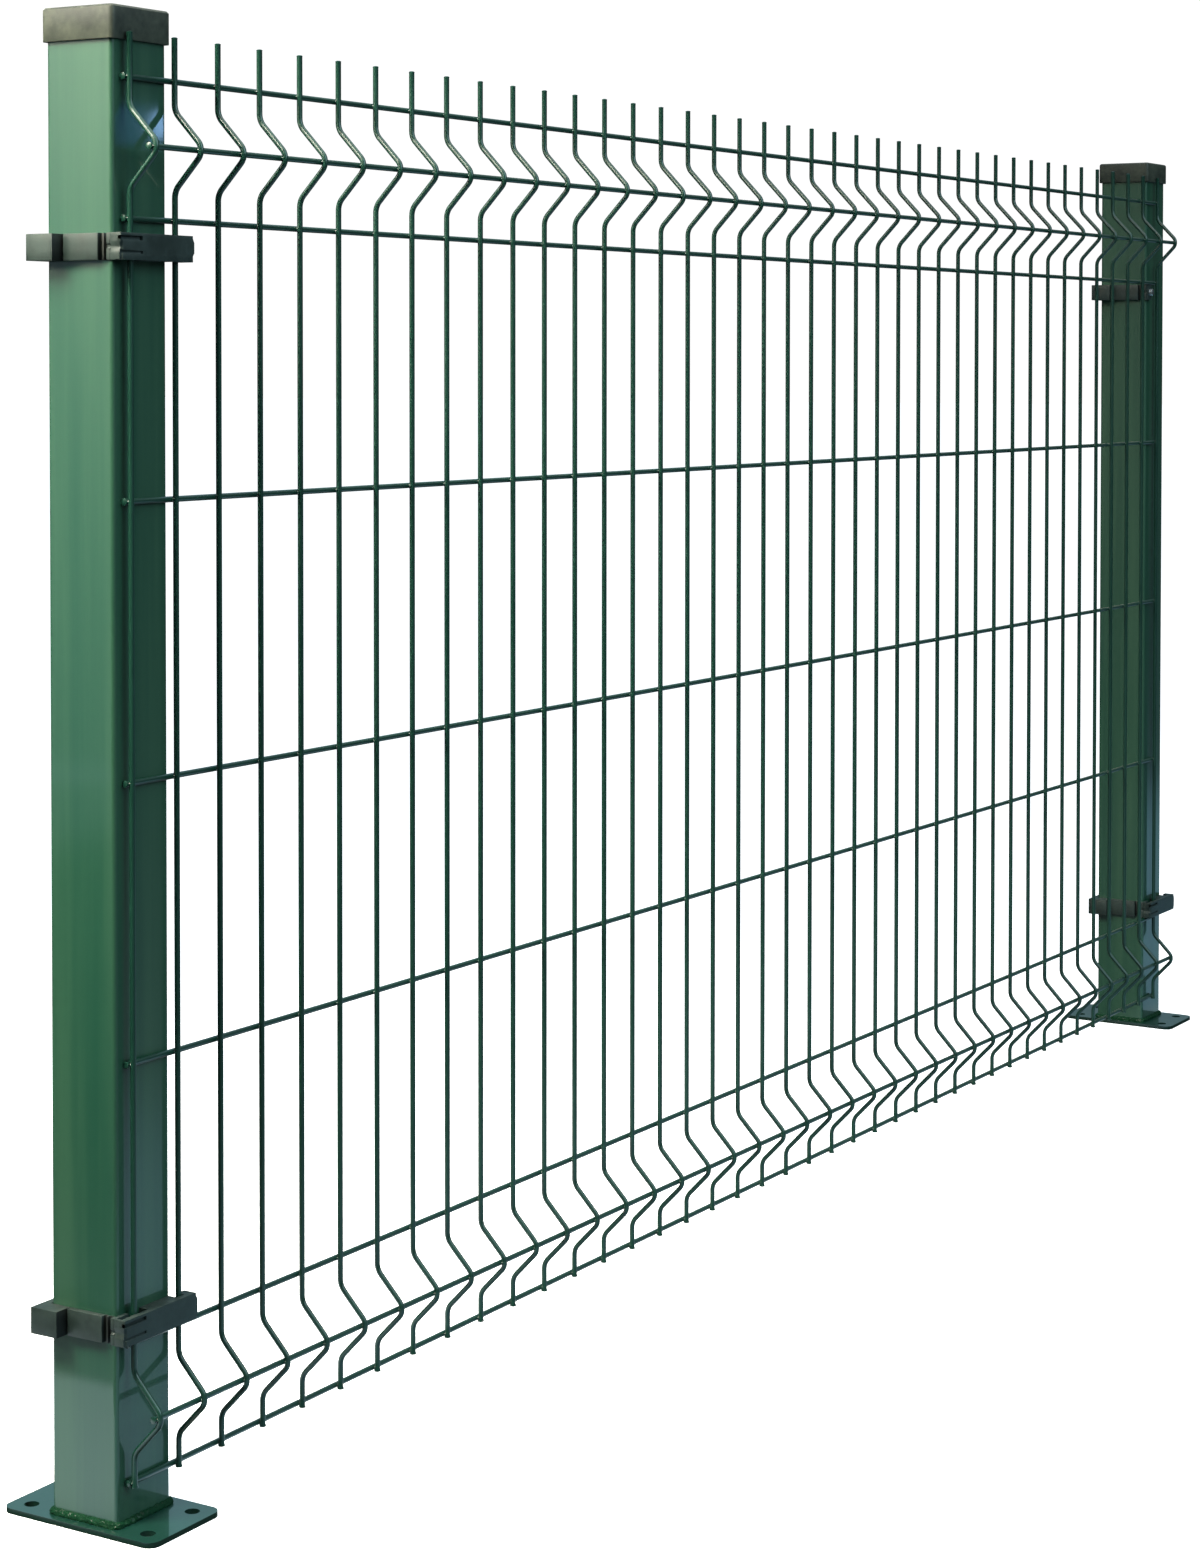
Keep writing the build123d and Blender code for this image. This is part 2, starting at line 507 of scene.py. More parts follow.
class Nodes:
    """A node tree with short ways to add and link nodes.

    Attributes:
        MIXED: Where a Mix node's two colours and its mixed colour lie in its sockets.
    """

    MIXED = (6, 7, 2)

    def __init__(self, tree: bpy.types.NodeTree) -> None:
        """Takes the tree of a material, world or group."""
        self.tree = tree

    def add(self, kind: str, **sockets: object) -> bpy.types.Node:
        """Adds a node and sets or links its inputs.

        Args:
            kind: The node's type.
            sockets: Input names, with _ for spaces, and a value or an output socket each;
                a name that is an attribute of the node is set there.

        Returns:
            The new node.
        """
        node = self.tree.nodes.new(kind)
        for key, value in sockets.items():
            if hasattr(node, key):
                setattr(node, key, value)
        for key, value in sockets.items():
            if not hasattr(node, key):
                self.put(node.inputs[key.replace("_", " ")], value)
        return node

    def group(self, tree: bpy.types.NodeTree, **sockets: object) -> bpy.types.Node:
        """Places a node group and sets or links its inputs."""
        return self.add("ShaderNodeGroup", node_tree=tree, **sockets)

    def put(self, socket: bpy.types.NodeSocket, value: object) -> None:
        """Sets an input's value, or links it to an output.

        Args:
            socket: The input.
            value: A value or an output socket.
        """
        if isinstance(value, bpy.types.NodeSocket):
            self.tree.links.new(value, socket)
        else:
            socket.default_value = value

    def maths(self, operation: str, a: object, b: object = 0.0, clamp: bool = False) -> Output:
        """Adds a Math node.

        Args:
            operation: The node's operation.
            a: Its first value or link.
            b: Its second value or link.
            clamp: Whether the result stays between 0 and 1.

        Returns:
            Its output.
        """
        node = self.tree.nodes.new("ShaderNodeMath")
        node.operation, node.use_clamp = operation, clamp
        self.put(node.inputs[0], a)
        self.put(node.inputs[1], b)
        return node.outputs[0]

    def product(self, *masks: object) -> Output:
        """Multiplies masks or values.

        Args:
            masks: Two or more of them.

        Returns:
            Their product.
        """
        result = masks[0]
        for mask in masks[1:]:
            result = self.maths("MULTIPLY", result, mask)
        return result

    def inverse(self, mask: Output) -> Output:
        """Swaps a mask's 0 and 1."""
        return self.maths("SUBTRACT", 1.0, mask)

    def ramp(self, value: Output, low: float, high: float) -> Output:
        """Spreads a value's range over 0 to 1, softly.

        Args:
            value: The value.
            low: What becomes 0.
            high: What becomes 1.

        Returns:
            The spread value.
        """
        node = self.tree.nodes.new("ShaderNodeMapRange")
        node.interpolation_type = "SMOOTHSTEP"
        self.put(node.inputs["Value"], value)
        self.put(node.inputs["From Min"], low)
        self.put(node.inputs["From Max"], high)
        return node.outputs["Result"]

    def band(self, value: Output, rise: Span, fall: Span) -> Output:
        """Masks the range of a value that lies between a soft rise and a soft fall."""
        return self.product(self.ramp(value, *rise), self.inverse(self.ramp(value, *fall)))

    def blend(self, mask: object, a: object, b: object) -> Output:
        """Mixes two colours.

        Args:
            mask: 0 for the first colour, 1 for the second.
            a: The first colour.
            b: The second colour.

        Returns:
            The mixed colour.
        """
        node = self.tree.nodes.new("ShaderNodeMix")
        node.data_type = "RGBA"
        first, second, mixed = self.MIXED
        self.put(node.inputs[0], mask)
        self.put(node.inputs[first], a)
        self.put(node.inputs[second], b)
        return node.outputs[mixed]

    def place(self) -> Output:
        """Reads the place on the piece."""
        return self.add("ShaderNodeTexCoord").outputs["Object"]

    def level(self) -> Output:
        """Reads how far a face looks up: 1 up, 0 sideways, -1 down."""
        facing = self.add("ShaderNodeNewGeometry").outputs["Normal"]
        return self.add("ShaderNodeSeparateXYZ", Vector=facing).outputs["Z"]

    def split(self, path: bpy.types.Node, light: Output, eye: Output, output: str) -> None:
        """Shows one shader to the camera and another to everything else.

        Args:
            path: The tree's Light Path node.
            light: The shader that lights and is mirrored.
            eye: The shader that the camera sees.
            output: The type of the tree's output node.
        """
        mixed = self.tree.nodes.new("ShaderNodeMixShader")
        for socket, value in zip(mixed.inputs, (path.outputs["Is Camera Ray"], light, eye)):
            self.put(socket, value)
        self.add(output, Surface=mixed.outputs[0])


Opened = tuple[bpy.types.NodeTree, Nodes, bpy.types.Node, bpy.types.Node]


class Effects:
    """The node groups that several finishes share.

    Attributes:
        BLOTCH: How much finer the small blotches are than the slow drift.
        SHARES: How much the slow drift and the blotches count.
        TONES: Where the deep tone ends and the pale tone begins.
        FINE: How much finer the grain is than the relief.
        LYING: How far a face has to look up for dust to begin and to be full.
        SPECKLE: Where the dust's specks begin and are full.
        UPRIGHT: How far a face may look up or down and be fully, or partly, a side.
    """

    BLOTCH = 7.0
    SHARES = (0.75, 0.25)
    TONES = (0.32, 0.68)
    FINE = 5.0
    LYING = (0.35, 1.0)
    SPECKLE = (0.35, 0.75)
    UPRIGHT = (0.3, 0.7)

    @staticmethod
    def opened(name: str, inputs: dict[str, str], outputs: dict[str, str]) -> Opened:
        """Starts a group with named sockets.

        Args:
            name: The group's name.
            inputs: Socket names and kinds.
            outputs: Socket names and kinds.

        Returns:
            The group, its nodes, its input node and its output node.
        """
        tree = bpy.data.node_groups.new(name, "ShaderNodeTree")
        for way, sockets in (("INPUT", inputs), ("OUTPUT", outputs)):
            for key, kind in sockets.items():
                tree.interface.new_socket(name=key, in_out=way, socket_type="NodeSocket" + kind)
        nodes = Nodes(tree)
        return tree, nodes, nodes.add("NodeGroupInput"), nodes.add("NodeGroupOutput")

    @staticmethod
    def drift() -> bpy.types.NodeTree:
        """Makes the drift between a finish's two tones, with streaks and small blotches.

        Returns:
            The group.
        """
        tree, nodes, given, out = Effects.opened(
            "coat_drift",
            {
                "Vector": "Vector", "Scale": "Float", "Amount": "Float",
                "Deep": "Color", "Pale": "Color",
            },
            {"Colour": "Color", "Mask": "Float"},
        )
        place, scale = given.outputs["Vector"], given.outputs["Scale"]
        slow = nodes.add(
            "ShaderNodeTexNoise", Vector=place, Scale=scale, Detail=3.0, Roughness=0.55
        )
        small = nodes.add(
            "ShaderNodeTexNoise", Vector=place, Scale=nodes.product(scale, Effects.BLOTCH),
            Detail=2.0,
        )
        slow_share, small_share = Effects.SHARES
        both = nodes.maths("ADD", nodes.product(slow.outputs["Fac"], slow_share),
                           nodes.product(small.outputs["Fac"], small_share))
        tones = nodes.ramp(both, *Effects.TONES)
        mask = nodes.maths("MULTIPLY", tones, given.outputs["Amount"], True)
        colour = nodes.blend(mask, given.outputs["Deep"], given.outputs["Pale"])
        nodes.put(out.inputs["Colour"], colour)
        nodes.put(out.inputs["Mask"], mask)
        return tree

    @staticmethod
    def peel() -> bpy.types.NodeTree:
        """Makes the fine relief of a baked coat, a moulded skin or a plating.

        Returns:
            The group.
        """
        tree, nodes, given, out = Effects.opened(
            "coat_peel", {"Vector": "Vector", "Scale": "Float", "Grain": "Float"},
            {"Height": "Float"},
        )
        place, scale = given.outputs["Vector"], given.outputs["Scale"]
        wave = nodes.add("ShaderNodeTexNoise", Vector=place, Scale=scale, Detail=1.0)
        fine = nodes.add(
            "ShaderNodeTexNoise", Vector=place, Scale=nodes.product(scale, Effects.FINE),
            Detail=2.0,
        )
        grain = nodes.product(fine.outputs["Fac"], given.outputs["Grain"])
        nodes.put(out.inputs["Height"], nodes.maths("ADD", wave.outputs["Fac"], grain))
        return tree

    @staticmethod
    def dust() -> bpy.types.NodeTree:
        """Makes the thin dust that lies on faces that look up.

        Returns:
            The group.
        """
        tree, nodes, given, out = Effects.opened(
            "settled_dust", {"Vector": "Vector", "Amount": "Float"}, {"Mask": "Float"}
        )
        speckle = nodes.add(
            "ShaderNodeTexNoise", Vector=given.outputs["Vector"], Scale=140.0, Detail=4.0
        )
        patchy = nodes.product(
            nodes.ramp(nodes.level(), *Effects.LYING),
            nodes.ramp(speckle.outputs["Fac"], *Effects.SPECKLE),
        )
        mask = nodes.maths("MULTIPLY", patchy, given.outputs["Amount"], True)
        nodes.put(out.inputs["Mask"], mask)
        return tree

    @staticmethod
    def sides() -> bpy.types.NodeTree:
        """Finds the faces that stand upright, such as a plate's rim and its holes' walls, where
        painted shade is laid.

        Returns:
            The group.
        """
        tree, nodes, _, out = Effects.opened("upright_sides", {}, {"Mask": "Float"})
        flat = nodes.ramp(nodes.maths("ABSOLUTE", nodes.level()), *Effects.UPRIGHT)
        nodes.put(out.inputs["Mask"], nodes.inverse(flat))
        return tree


DRIFT = Effects.drift()
PEEL = Effects.peel()
DUST = Effects.dust()
SIDES = Effects.sides()
BLACK = (0.0, 0.0, 0.0, 1.0)
WHITE = (1.0, 1.0, 1.0, 1.0)
DUST_COLOUR = (0.36, 0.37, 0.33, 1.0)


def blank(name: str) -> tuple[bpy.types.Material, Nodes]:
    """Starts a material with an empty node tree.

    Args:
        name: The material's name.

    Returns:
        The material and its nodes.
    """
    made = bpy.data.materials.new(name)
    made.use_nodes = True
    made.node_tree.nodes.clear()
    return made, Nodes(made.node_tree)


@dataclass(frozen=True)
class Finish:
    """A finish: two tones that drift into each other, a fine relief and dust.

    Attributes:
        name: The material's name.
        deep: Its deeper tone.
        pale: Its paler tone.
        roughness: How dull the deep tone is.
        spread: How much duller the pale tone is.
        drift: How much of the pale tone shows.
        drift_scale: How fine its patches are.
        stretch: How much they are drawn out along Z; less is longer.
        peel: How strong the relief is.
        peel_scale: How fine it is.
        peel_depth: How deep it is.
        grain: How much finer grain it holds.
        dust: How much dust lies on it.
        dulled: How much duller the dust makes it.
        shaded_rim_tone: How bright its upright faces stay under painted shade, next to 1 for the
            others.
        ior: How strongly it mirrors.
    """

    name: str
    deep: Colour
    pale: Colour
    roughness: float = 0.3
    spread: float = 0.08
    drift: float = 0.6
    drift_scale: float = 20.0
    stretch: float = 1.0
    peel: float = 0.12
    peel_scale: float = 220.0
    peel_depth: float = 0.4 * MM
    grain: float = 0.15
    dust: float = 0.0
    dulled: float = 0.0
    shaded_rim_tone: float = 1.0
    ior: float = 1.5

    def sockets(self) -> dict[str, float]:
        """Gives the shader's own values."""
        return {"IOR": self.ior}

    def material(self) -> bpy.types.Material:
        """Makes the material.

        Returns:
            The finish's material.
        """
        made, nodes = blank(self.name)
        place = nodes.place()
        drawn = nodes.add("ShaderNodeMapping", Vector=place, Scale=(1.0, 1.0, self.stretch))
        tone = nodes.group(
            DRIFT, Vector=drawn.outputs[0], Scale=self.drift_scale, Amount=self.drift,
            Deep=(*self.deep, 1.0), Pale=(*self.pale, 1.0),
        )
        colour = tone.outputs["Colour"]
        worn = nodes.product(tone.outputs["Mask"], self.spread)
        rough = nodes.maths("ADD", worn, self.roughness, True)
        # Painted shade: upright faces are darkened towards black.
        if self.shaded_rim_tone < 1.0:
            rim = nodes.product(nodes.group(SIDES).outputs["Mask"], 1.0 - self.shaded_rim_tone)
            colour = nodes.blend(rim, colour, BLACK)
        if self.dust:
            lying = nodes.group(DUST, Vector=place, Amount=self.dust).outputs["Mask"]
            colour = nodes.blend(lying, colour, DUST_COLOUR)
            rough = nodes.maths("ADD", rough, nodes.product(lying, self.dulled), True)
        skin = nodes.group(PEEL, Vector=place, Scale=self.peel_scale, Grain=self.grain)
        bump = nodes.add(
            "ShaderNodeBump", Strength=self.peel, Distance=self.peel_depth,
            Height=skin.outputs["Height"],
        )
        shader = nodes.add(
            "ShaderNodeBsdfPrincipled", Base_Color=colour, Roughness=rough,
            Normal=bump.outputs["Normal"], **self.sockets(),
        )
        nodes.add("ShaderNodeOutputMaterial", Surface=shader.outputs[0])
        return made


@dataclass(frozen=True)
class Coat(Finish):
    """A green coat over steel, with a clear glossy skin."""

    gloss: float = 1.0
    gloss_roughness: float = 0.05

    def sockets(self) -> dict[str, float]:
        """Adds the clear skin's values."""
        return {
            "Coat_Weight": self.gloss, "Coat_Roughness": self.gloss_roughness,
            **super().sockets(),
        }


@dataclass(frozen=True)
class Plastic(Finish):
    """A matte moulded plastic with a faint grain and rubbed tone."""

    roughness: float = 0.45
    spread: float = 0.12
    drift: float = 0.9
    drift_scale: float = 26.0
    peel: float = 0.35
    peel_scale: float = 900.0
    peel_depth: float = 0.15 * MM
    grain: float = 0.6
    dust: float = 0.3
    ior: float = 1.46


@dataclass(frozen=True)
class Zinc(Finish):
    """Bright zinc plating with a cloudy bloom."""

    roughness: float = 0.22
    spread: float = 0.25
    drift: float = 0.8
    drift_scale: float = 160.0
    peel: float = 0.2
    peel_scale: float = 1200.0
    peel_depth: float = 0.1 * MM
    grain: float = 0.5

    def sockets(self) -> dict[str, float]:
        """Adds the metal's value."""
        return {"Metallic": 1.0, **super().sockets()}


POST_COAT = Coat(
    "post_coat", (0.006, 0.058, 0.032), (0.026, 0.092, 0.048), roughness=0.42, drift=0.9,
    drift_scale=26.0, stretch=0.03, dust=0.25, dulled=0.4,
).material()
# The plate's rim and its holes' walls take painted shade.
PLATE_COAT = Coat(
    "plate_coat", (0.004, 0.036, 0.024), (0.007, 0.050, 0.036), roughness=0.35, drift_scale=8.0,
    peel=0.15, shaded_rim_tone=0.6, gloss_roughness=0.03,
).material()
WELD_COAT = Coat(
    "weld_coat", (0.002, 0.028, 0.010), (0.004, 0.050, 0.020), roughness=0.7, drift_scale=60.0,
    peel=0.2, ior=1.2, gloss=0.14, gloss_roughness=0.06,
).material()
WIRE_COAT = Coat(
    "wire_coat", (0.005, 0.036, 0.023), (0.009, 0.052, 0.034), stretch=0.4, peel=0.1,
    peel_scale=500.0, gloss=0.45, gloss_roughness=0.12,
).material()
CAP_PLASTIC = Plastic(
    "cap_plastic", (0.017, 0.022, 0.017), (0.064, 0.074, 0.052), drift_scale=30.0, dust=0.1
).material()
CLAMP_PLASTIC = Plastic(
    "clamp_plastic", (0.013, 0.023, 0.020), (0.031, 0.050, 0.045), dust=0.03
).material()
# A darker plastic that paints shade into the yokes' grooves and slots and the ears' front sides.
CLAMP_PAINTED_SHADE = Plastic("clamp_painted_shade", (0.004, 0.006, 0.005), (0.012, 0.016, 0.013)).material()
ZINC_PLATE = Zinc("zinc_plate", (0.72, 0.73, 0.74), (0.5, 0.51, 0.52)).material()


def paint(piece: bpy.types.Object, finish: bpy.types.Material) -> None:
    """Gives a new piece or a CAD node its finish.

    Args:
        piece: The object.
        finish: Its material.
    """
    piece.data.materials.clear()
    piece.data.materials.append(finish)


def dress(
    piece: bpy.types.Object, finish: bpy.types.Material, slot: Slot, *nodes: str
) -> None:
    """Gives a new piece its finish and ties it to the frame.

    Args:
        piece: The finished piece.
        finish: Its material.
        slot: The record's slot; not used.
        nodes: The CAD nodes that it stands for.
    """
    paint(piece, finish)
    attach(piece, "root")
    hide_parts(*nodes)
    log.info("%s: %d faces", piece.name, len(piece.data.polygons))


@dataclass
class WeldedMesh:
    """The panel of level and upright wires with its two folds.

    Attributes:
        pitch: How far the uprights stand apart.
        spaces: How many spaces there are between them.
        first_x: Where the first upright stands.
        radius: The wires' radius.
        level_y: Where the level wires' middles lie.
        upright_y: Where the uprights' middles lie.
        rows: The level wires' heights.
        folds: The heights of the folds' points.
        fold_half: Half a fold's height.
        fold_rise: How far the fold's flanks would reach if they met.
        fold_reach: How far the rounded point reaches.
        foot_bend: The radius of a fold's first and last bend.
        foot_rings: How many rings those bends have.
        point_rings: How many rings the bend at the fold's point has.
        tail_z: Where the uprights start.
        spike_z: Where they end.
        overhang: How far the level wires run past the outer uprights.
        draw_step: About how far apart the rings of an upright's straight stretch lie.
        level_steps: How many steps a level wire is drawn in.
        weld: The half sizes of a weld.
    """

    pitch: float = 50 * MM
    spaces: int = 40
    first_x: float = -17.5 * MM
    radius: float = 2.2 * MM
    level_y: float = -32.3 * MM
    upright_y: float = -35.9 * MM
    rows: tuple[float, ...] = mm(34, 84, 134, 334, 534, 734, 934, 984, 1034)
    folds: tuple[float, ...] = mm(84, 984)
    fold_half: float = 28.5 * MM
    fold_rise: float = 27.4 * MM
    fold_reach: float = 23.78 * MM
    foot_bend: float = 13.0 * MM
    foot_rings: int = 6
    point_rings: int = 7
    tail_z: float = 30.5 * MM
    spike_z: float = 1065.5 * MM
    overhang: float = 4.5 * MM
    draw_step: float = 200 * MM
    level_steps: int = 8
    weld: tuple[float, ...] = mm(2.9, 1.5, 2.9)

    def uprights(self) -> bpy.types.Object:
        """Bends one upright wire and repeats it along the panel.

        Returns:
            All upright wires.
        """
        slope = math.atan2(self.fold_rise, self.fold_half)
        point_bend = (self.fold_rise - self.fold_reach) / (1 / math.cos(slope) - 1)
        foot_run = self.foot_bend * math.tan(slope / 2)
        point_run = point_bend * math.tan(slope)
        flank = math.hypot(self.fold_rise, self.fold_half) - foot_run - point_run
        bar = Bar(Vector((self.first_x, self.upright_y, self.tail_z)), self.radius)
        bar.begin("upright_wires")
        for fold in self.folds:
            gap = fold - self.fold_half - foot_run - bar.centre.z
            bar.draw_in(max(1, round(gap / self.draw_step)), gap)
            bar.bend(slope, self.foot_bend, self.foot_rings)
            bar.draw(flank)
            bar.bend(-2 * slope, point_bend, self.point_rings)
            bar.draw(flank)
            bar.bend(slope, self.foot_bend, self.foot_rings)
        bar.draw(self.spike_z - sum(Bar.LAST_RUNS) - bar.centre.z)
        wires = bar.end()
        Bench.repeat(wires, self.spaces + 1, self.pitch)
        return wires

    def level_place(self, row: float) -> Vector:
        """Gives the middle of a level wire's left end, for its row's height."""
        reach = self.fold_reach if row in self.folds else 0.0
        return Vector((self.first_x - self.overhang, self.level_y - reach, row))

    def in_rows(self, first: bpy.types.Object, name: str) -> bpy.types.Object:
        """Copies what lies in the first row to the other rows.

        Args:
            first: The piece in the first row.
            name: The whole piece's name.

        Returns:
            All of them, joined.
        """
        start = self.level_place(self.rows[0])
        copies = [Bench.copied(first, self.level_place(row) - start) for row in self.rows[1:]]
        return Bench.joined([first, *copies], name)

    def levels(self) -> bpy.types.Object:
        """Draws one level wire and lays a copy in each row.

        Returns:
            All level wires.
        """
        length = self.pitch * self.spaces + 2 * self.overhang
        bar = Bar(Vector((0, 0, 0)), self.radius)
        bar.begin("level_wires")
        bar.draw_in(self.level_steps, length - sum(Bar.FIRST_RUNS) - sum(Bar.LAST_RUNS))
        wire = bar.end()
        Bench.only(wire)
        wire.rotation_euler = (0, math.radians(90), 0)
        wire.location = self.level_place(self.rows[0])
        bpy.ops.object.transform_apply(location=True, rotation=True, scale=False)
        return self.in_rows(wire, "level_wires")

    def nuggets(self) -> bpy.types.Object:
        """Shapes one weld and repeats it at every crossing.

        Returns:
            All welds.
        """
        middle = (self.level_y + self.upright_y) / 2
        Bench.clear()
        bpy.ops.mesh.primitive_uv_sphere_add(
            segments=8, ring_count=5, radius=1.0, scale=self.weld,
            location=(self.first_x, middle, self.rows[0]), rotation=(math.radians(90), 0, 0),
        )
        nugget = Bench.started("wire_welds")
        Bench.smooth(nugget, Bench.ROUND)
        welds = self.in_rows(nugget, "wire_welds")
        Bench.repeat(welds, self.spaces + 1, self.pitch)
        return welds

    def build(self) -> None:
        """Builds and dresses the panel."""
        for piece in (self.uprights(), self.levels(), self.nuggets()):
            dress(piece, WIRE_COAT, Slot.WIRE, "mesh_panel")


@dataclass
class Footing:
    """A post's foot: the plate and the bead of weld round the post.

    Attributes:
        side: Which post it carries.
        post_half: Half the post's width.
        corner: The radius of the post's corners.
        bead: The bead's radius.
        bead_z: How high its middle lies.
        ripple: How far its ripples stand apart.
        narrow: How thin and how thick the ripples' hollows are, for a bead of 1.
        crest: How much thicker their crests are.
        lump: How large its lumps are.
        lump_height: How far they rise and sink.
    """

    side: Side
    post_half: float = 30.0 * MM
    corner: float = 3.0 * MM
    bead: float = 3.7 * MM
    bead_z: float = 4.8 * MM
    ripple: float = 3.4 * MM
    narrow: Span = (0.74, 0.92)
    crest: float = 0.26
    lump: float = 3 * MM
    lump_height: float = 2.6 * MM

    def weld(self) -> bpy.types.Object:
        """Runs a rippled bead round the post's foot.

        Returns:
            The bead.
        """
        lumps = random.Random(self.side.value)
        low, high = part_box(f"{self.side.value}_post")
        run = self.post_half - self.corner
        place = Vector(((low.x + high.x) / 2 - self.post_half, -run, self.bead_z))
        Bench.clear()
        bpy.ops.mesh.primitive_circle_add(
            vertices=10, radius=self.bead, fill_type="NOTHING", location=place,
            rotation=(math.radians(90), 0, 0),
        )
        piece = Bench.started(f"{self.side.value}_weld_bead")
        bpy.ops.object.mode_set(mode="EDIT")
        bpy.ops.mesh.select_mode(type="VERT")
        bpy.ops.mesh.select_all(action="SELECT")
        steps = round(2 * run / self.ripple)
        size = 1.0
        for quarter in range(4):
            turn = Matrix.Rotation(-quarter * math.pi / 2, 3, "Z")
            move = turn @ Vector((0, 1, 0)) * (2 * run / steps)
            for step in range(steps):
                bpy.ops.mesh.extrude_region_move(TRANSFORM_OT_translate={"value": move})
                place = place + move
                wanted = 1.0
                if step < steps - 1:
                    wanted = lumps.uniform(*self.narrow) + self.crest * (step % 2)
                factor = wanted / size
                bpy.ops.transform.resize(value=(factor, factor, factor), center_override=place)
                size = wanted
            pivot = place + turn @ Vector((self.corner, 0, 0))
            bpy.ops.mesh.spin(steps=3, angle=math.pi / 2, center=pivot, axis=(0, 0, 1))
            place = pivot + Matrix.Rotation(-math.pi / 2, 3, "Z") @ (place - pivot)
        bpy.ops.object.mode_set(mode="OBJECT")
        Bench.outward(piece, merge=0.05 * MM)
        texture = bpy.data.textures.new(f"{self.side.value}_lumps", "CLOUDS")
        texture.noise_scale = self.lump
        Bench.modify(piece, "SUBSURF", levels=2, render_levels=2)
        Bench.modify(
            piece, "DISPLACE", texture=texture, strength=self.lump_height, mid_level=0.5,
            texture_coords="LOCAL",
        )
        Bench.smooth(piece, Bench.ROUND)
        return piece

    def build(self) -> None:
        """Builds and dresses the foot."""
        paint(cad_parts[f"{self.side.value}_foot_plate"], PLATE_COAT)
        dress(self.weld(), WELD_COAT, Slot.WELD, f"{self.side.value}_foot_weld")


@dataclass
class Post:
    """A square post and its cap.

    Attributes:
        side: Which post it is.
        cap_round: How wide the rounding of the cap's edges is.
    """

    side: Side
    cap_round: float = 1.1 * MM

    def build(self) -> None:
        """Dresses the post and makes its cap."""
        paint(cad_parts[f"{self.side.value}_post"], POST_COAT)
        node = f"{self.side.value}_post_cap"
        cap = Bench.traced(node, f"{self.side.value}_cap")
        Bench.soften(cap, self.cap_round)
        dress(cap, CAP_PLASTIC, Slot.CAP, node)


